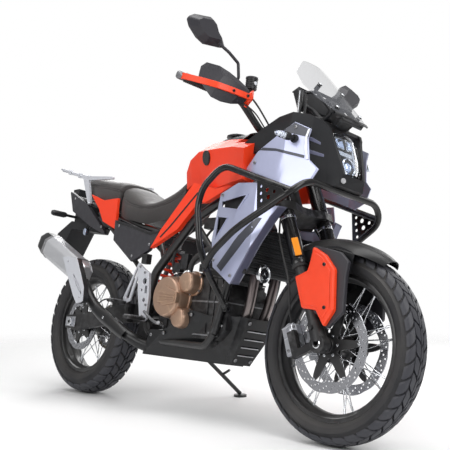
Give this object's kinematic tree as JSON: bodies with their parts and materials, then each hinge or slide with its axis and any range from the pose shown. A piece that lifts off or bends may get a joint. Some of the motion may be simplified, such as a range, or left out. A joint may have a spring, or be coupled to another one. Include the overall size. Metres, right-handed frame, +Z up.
{
  "type": "adventure motorcycle",
  "caption": "Adventure motorcycle with spoked wheels, crash bars, skid plate, tall screen and luggage rack, leaning on its side stand.",
  "frame": {"origin": "on the floor under the centre of the box of the machine as it leans on its side stand", "axes": "+X forward, +Y to the rider's left, +Z up from the floor; the machine itself leans 9.5 degrees towards +Y"},
  "size_m": [2.208, 1.0071, 1.5359],
  "materials": {
    "frame_black": "satin black powder coat",
    "engine_dark": "dark grey painted casting",
    "bronze_cover": "bronze painted casting",
    "swingarm_grey": "dark grey satin",
    "steel": "zinc plated",
    "chain_steel": "oiled steel",
    "alloy": "silver satin",
    "radiator_black": "matte black fins",
    "exhaust_steel": "brushed stainless",
    "black_plastic": "textured black",
    "grey_plastic": "dark grey moulding",
    "lamp_lens": "clear lens",
    "signal_lens": "smoked clear lens",
    "clear_screen": "clear polycarbonate",
    "silver_paint": "pearl silver paint",
    "orange_paint": "orange red paint",
    "seat_cover": "grained synthetic leather",
    "fork_alloy": "machined alloy",
    "fork_black": "black anodised",
    "grip_rubber": "ribbed rubber",
    "tyre": "road worn rubber",
    "rim_black": "black anodised rim, steel spokes",
    "disc_steel": "ground stainless"
  },
  "bodies": {
    "chassis": {"main_frame": "frame_black", "engine_cases": "engine_dark", "engine_covers": "bronze_cover", "cylinder_block": "engine_dark", "swingarm": "swingarm_grey", "rear_shock": "steel", "drive_chain": "chain_steel", "rear_caliper": "alloy", "footrests": "alloy", "radiator": "radiator_black", "exhaust_pipes": "exhaust_steel", "silencer": "exhaust_steel", "crash_bars": "frame_black", "skid_plate": "black_plastic", "headlight": "lamp_lens", "signal_lamps": "signal_lens", "instrument": "black_plastic", "windscreen": "clear_screen", "side_shrouds": "silver_paint", "nose_cowl": "black_plastic", "fuel_tank": "orange_paint", "rear_rack": "alloy", "rear_fender": "black_plastic", "tail_panels": "orange_paint", "side_covers": "grey_plastic", "pillion_seat": "seat_cover", "rider_seat": "seat_cover"},
    "steering": {"fork_legs": "fork_alloy", "fork_tubes": "fork_black", "triple_clamps": "fork_black", "front_calipers": "alloy", "front_fender": "black_plastic", "fork_guards": "orange_paint", "handlebar": "fork_black", "hand_controls": "grip_rubber", "handguards": "orange_paint", "mirrors": "grey_plastic"},
    "front_wheel": {"front_tyre": "tyre", "front_rim": "rim_black", "front_discs": "disc_steel"},
    "rear_wheel": {"rear_tyre": "tyre", "rear_rim": "rim_black", "rear_disc": "disc_steel", "rear_sprocket": "chain_steel"},
    "side_stand": {"side_stand": "frame_black"}
  },
  "joints": [
    {"name": "steering_turn", "type": "hinge", "parent": "chassis", "child": "steering", "pos_m": [0.51851, -0.11057, 0.76529], "axis": [-0.4305, 0.149, 0.8902], "range_deg": [-32, 32]},
    {"name": "front_wheel_spin", "type": "hinge", "parent": "steering", "child": "front_wheel", "pos_m": [0.77504, -0.184, 0.32649], "axis": [0, 0.9863, -0.165], "continuous": true},
    {"name": "rear_wheel_spin", "type": "hinge", "parent": "chassis", "child": "rear_wheel", "pos_m": [-0.73496, -0.18532, 0.3186], "axis": [0, 0.9863, -0.165], "continuous": true},
    {"name": "side_stand_fold", "type": "hinge", "parent": "chassis", "child": "side_stand", "pos_m": [-0.18996, -0.03494, 0.25997], "axis": [0.0297, 0.6875, 0.7255], "range_deg": [0, 84]}
  ]
}
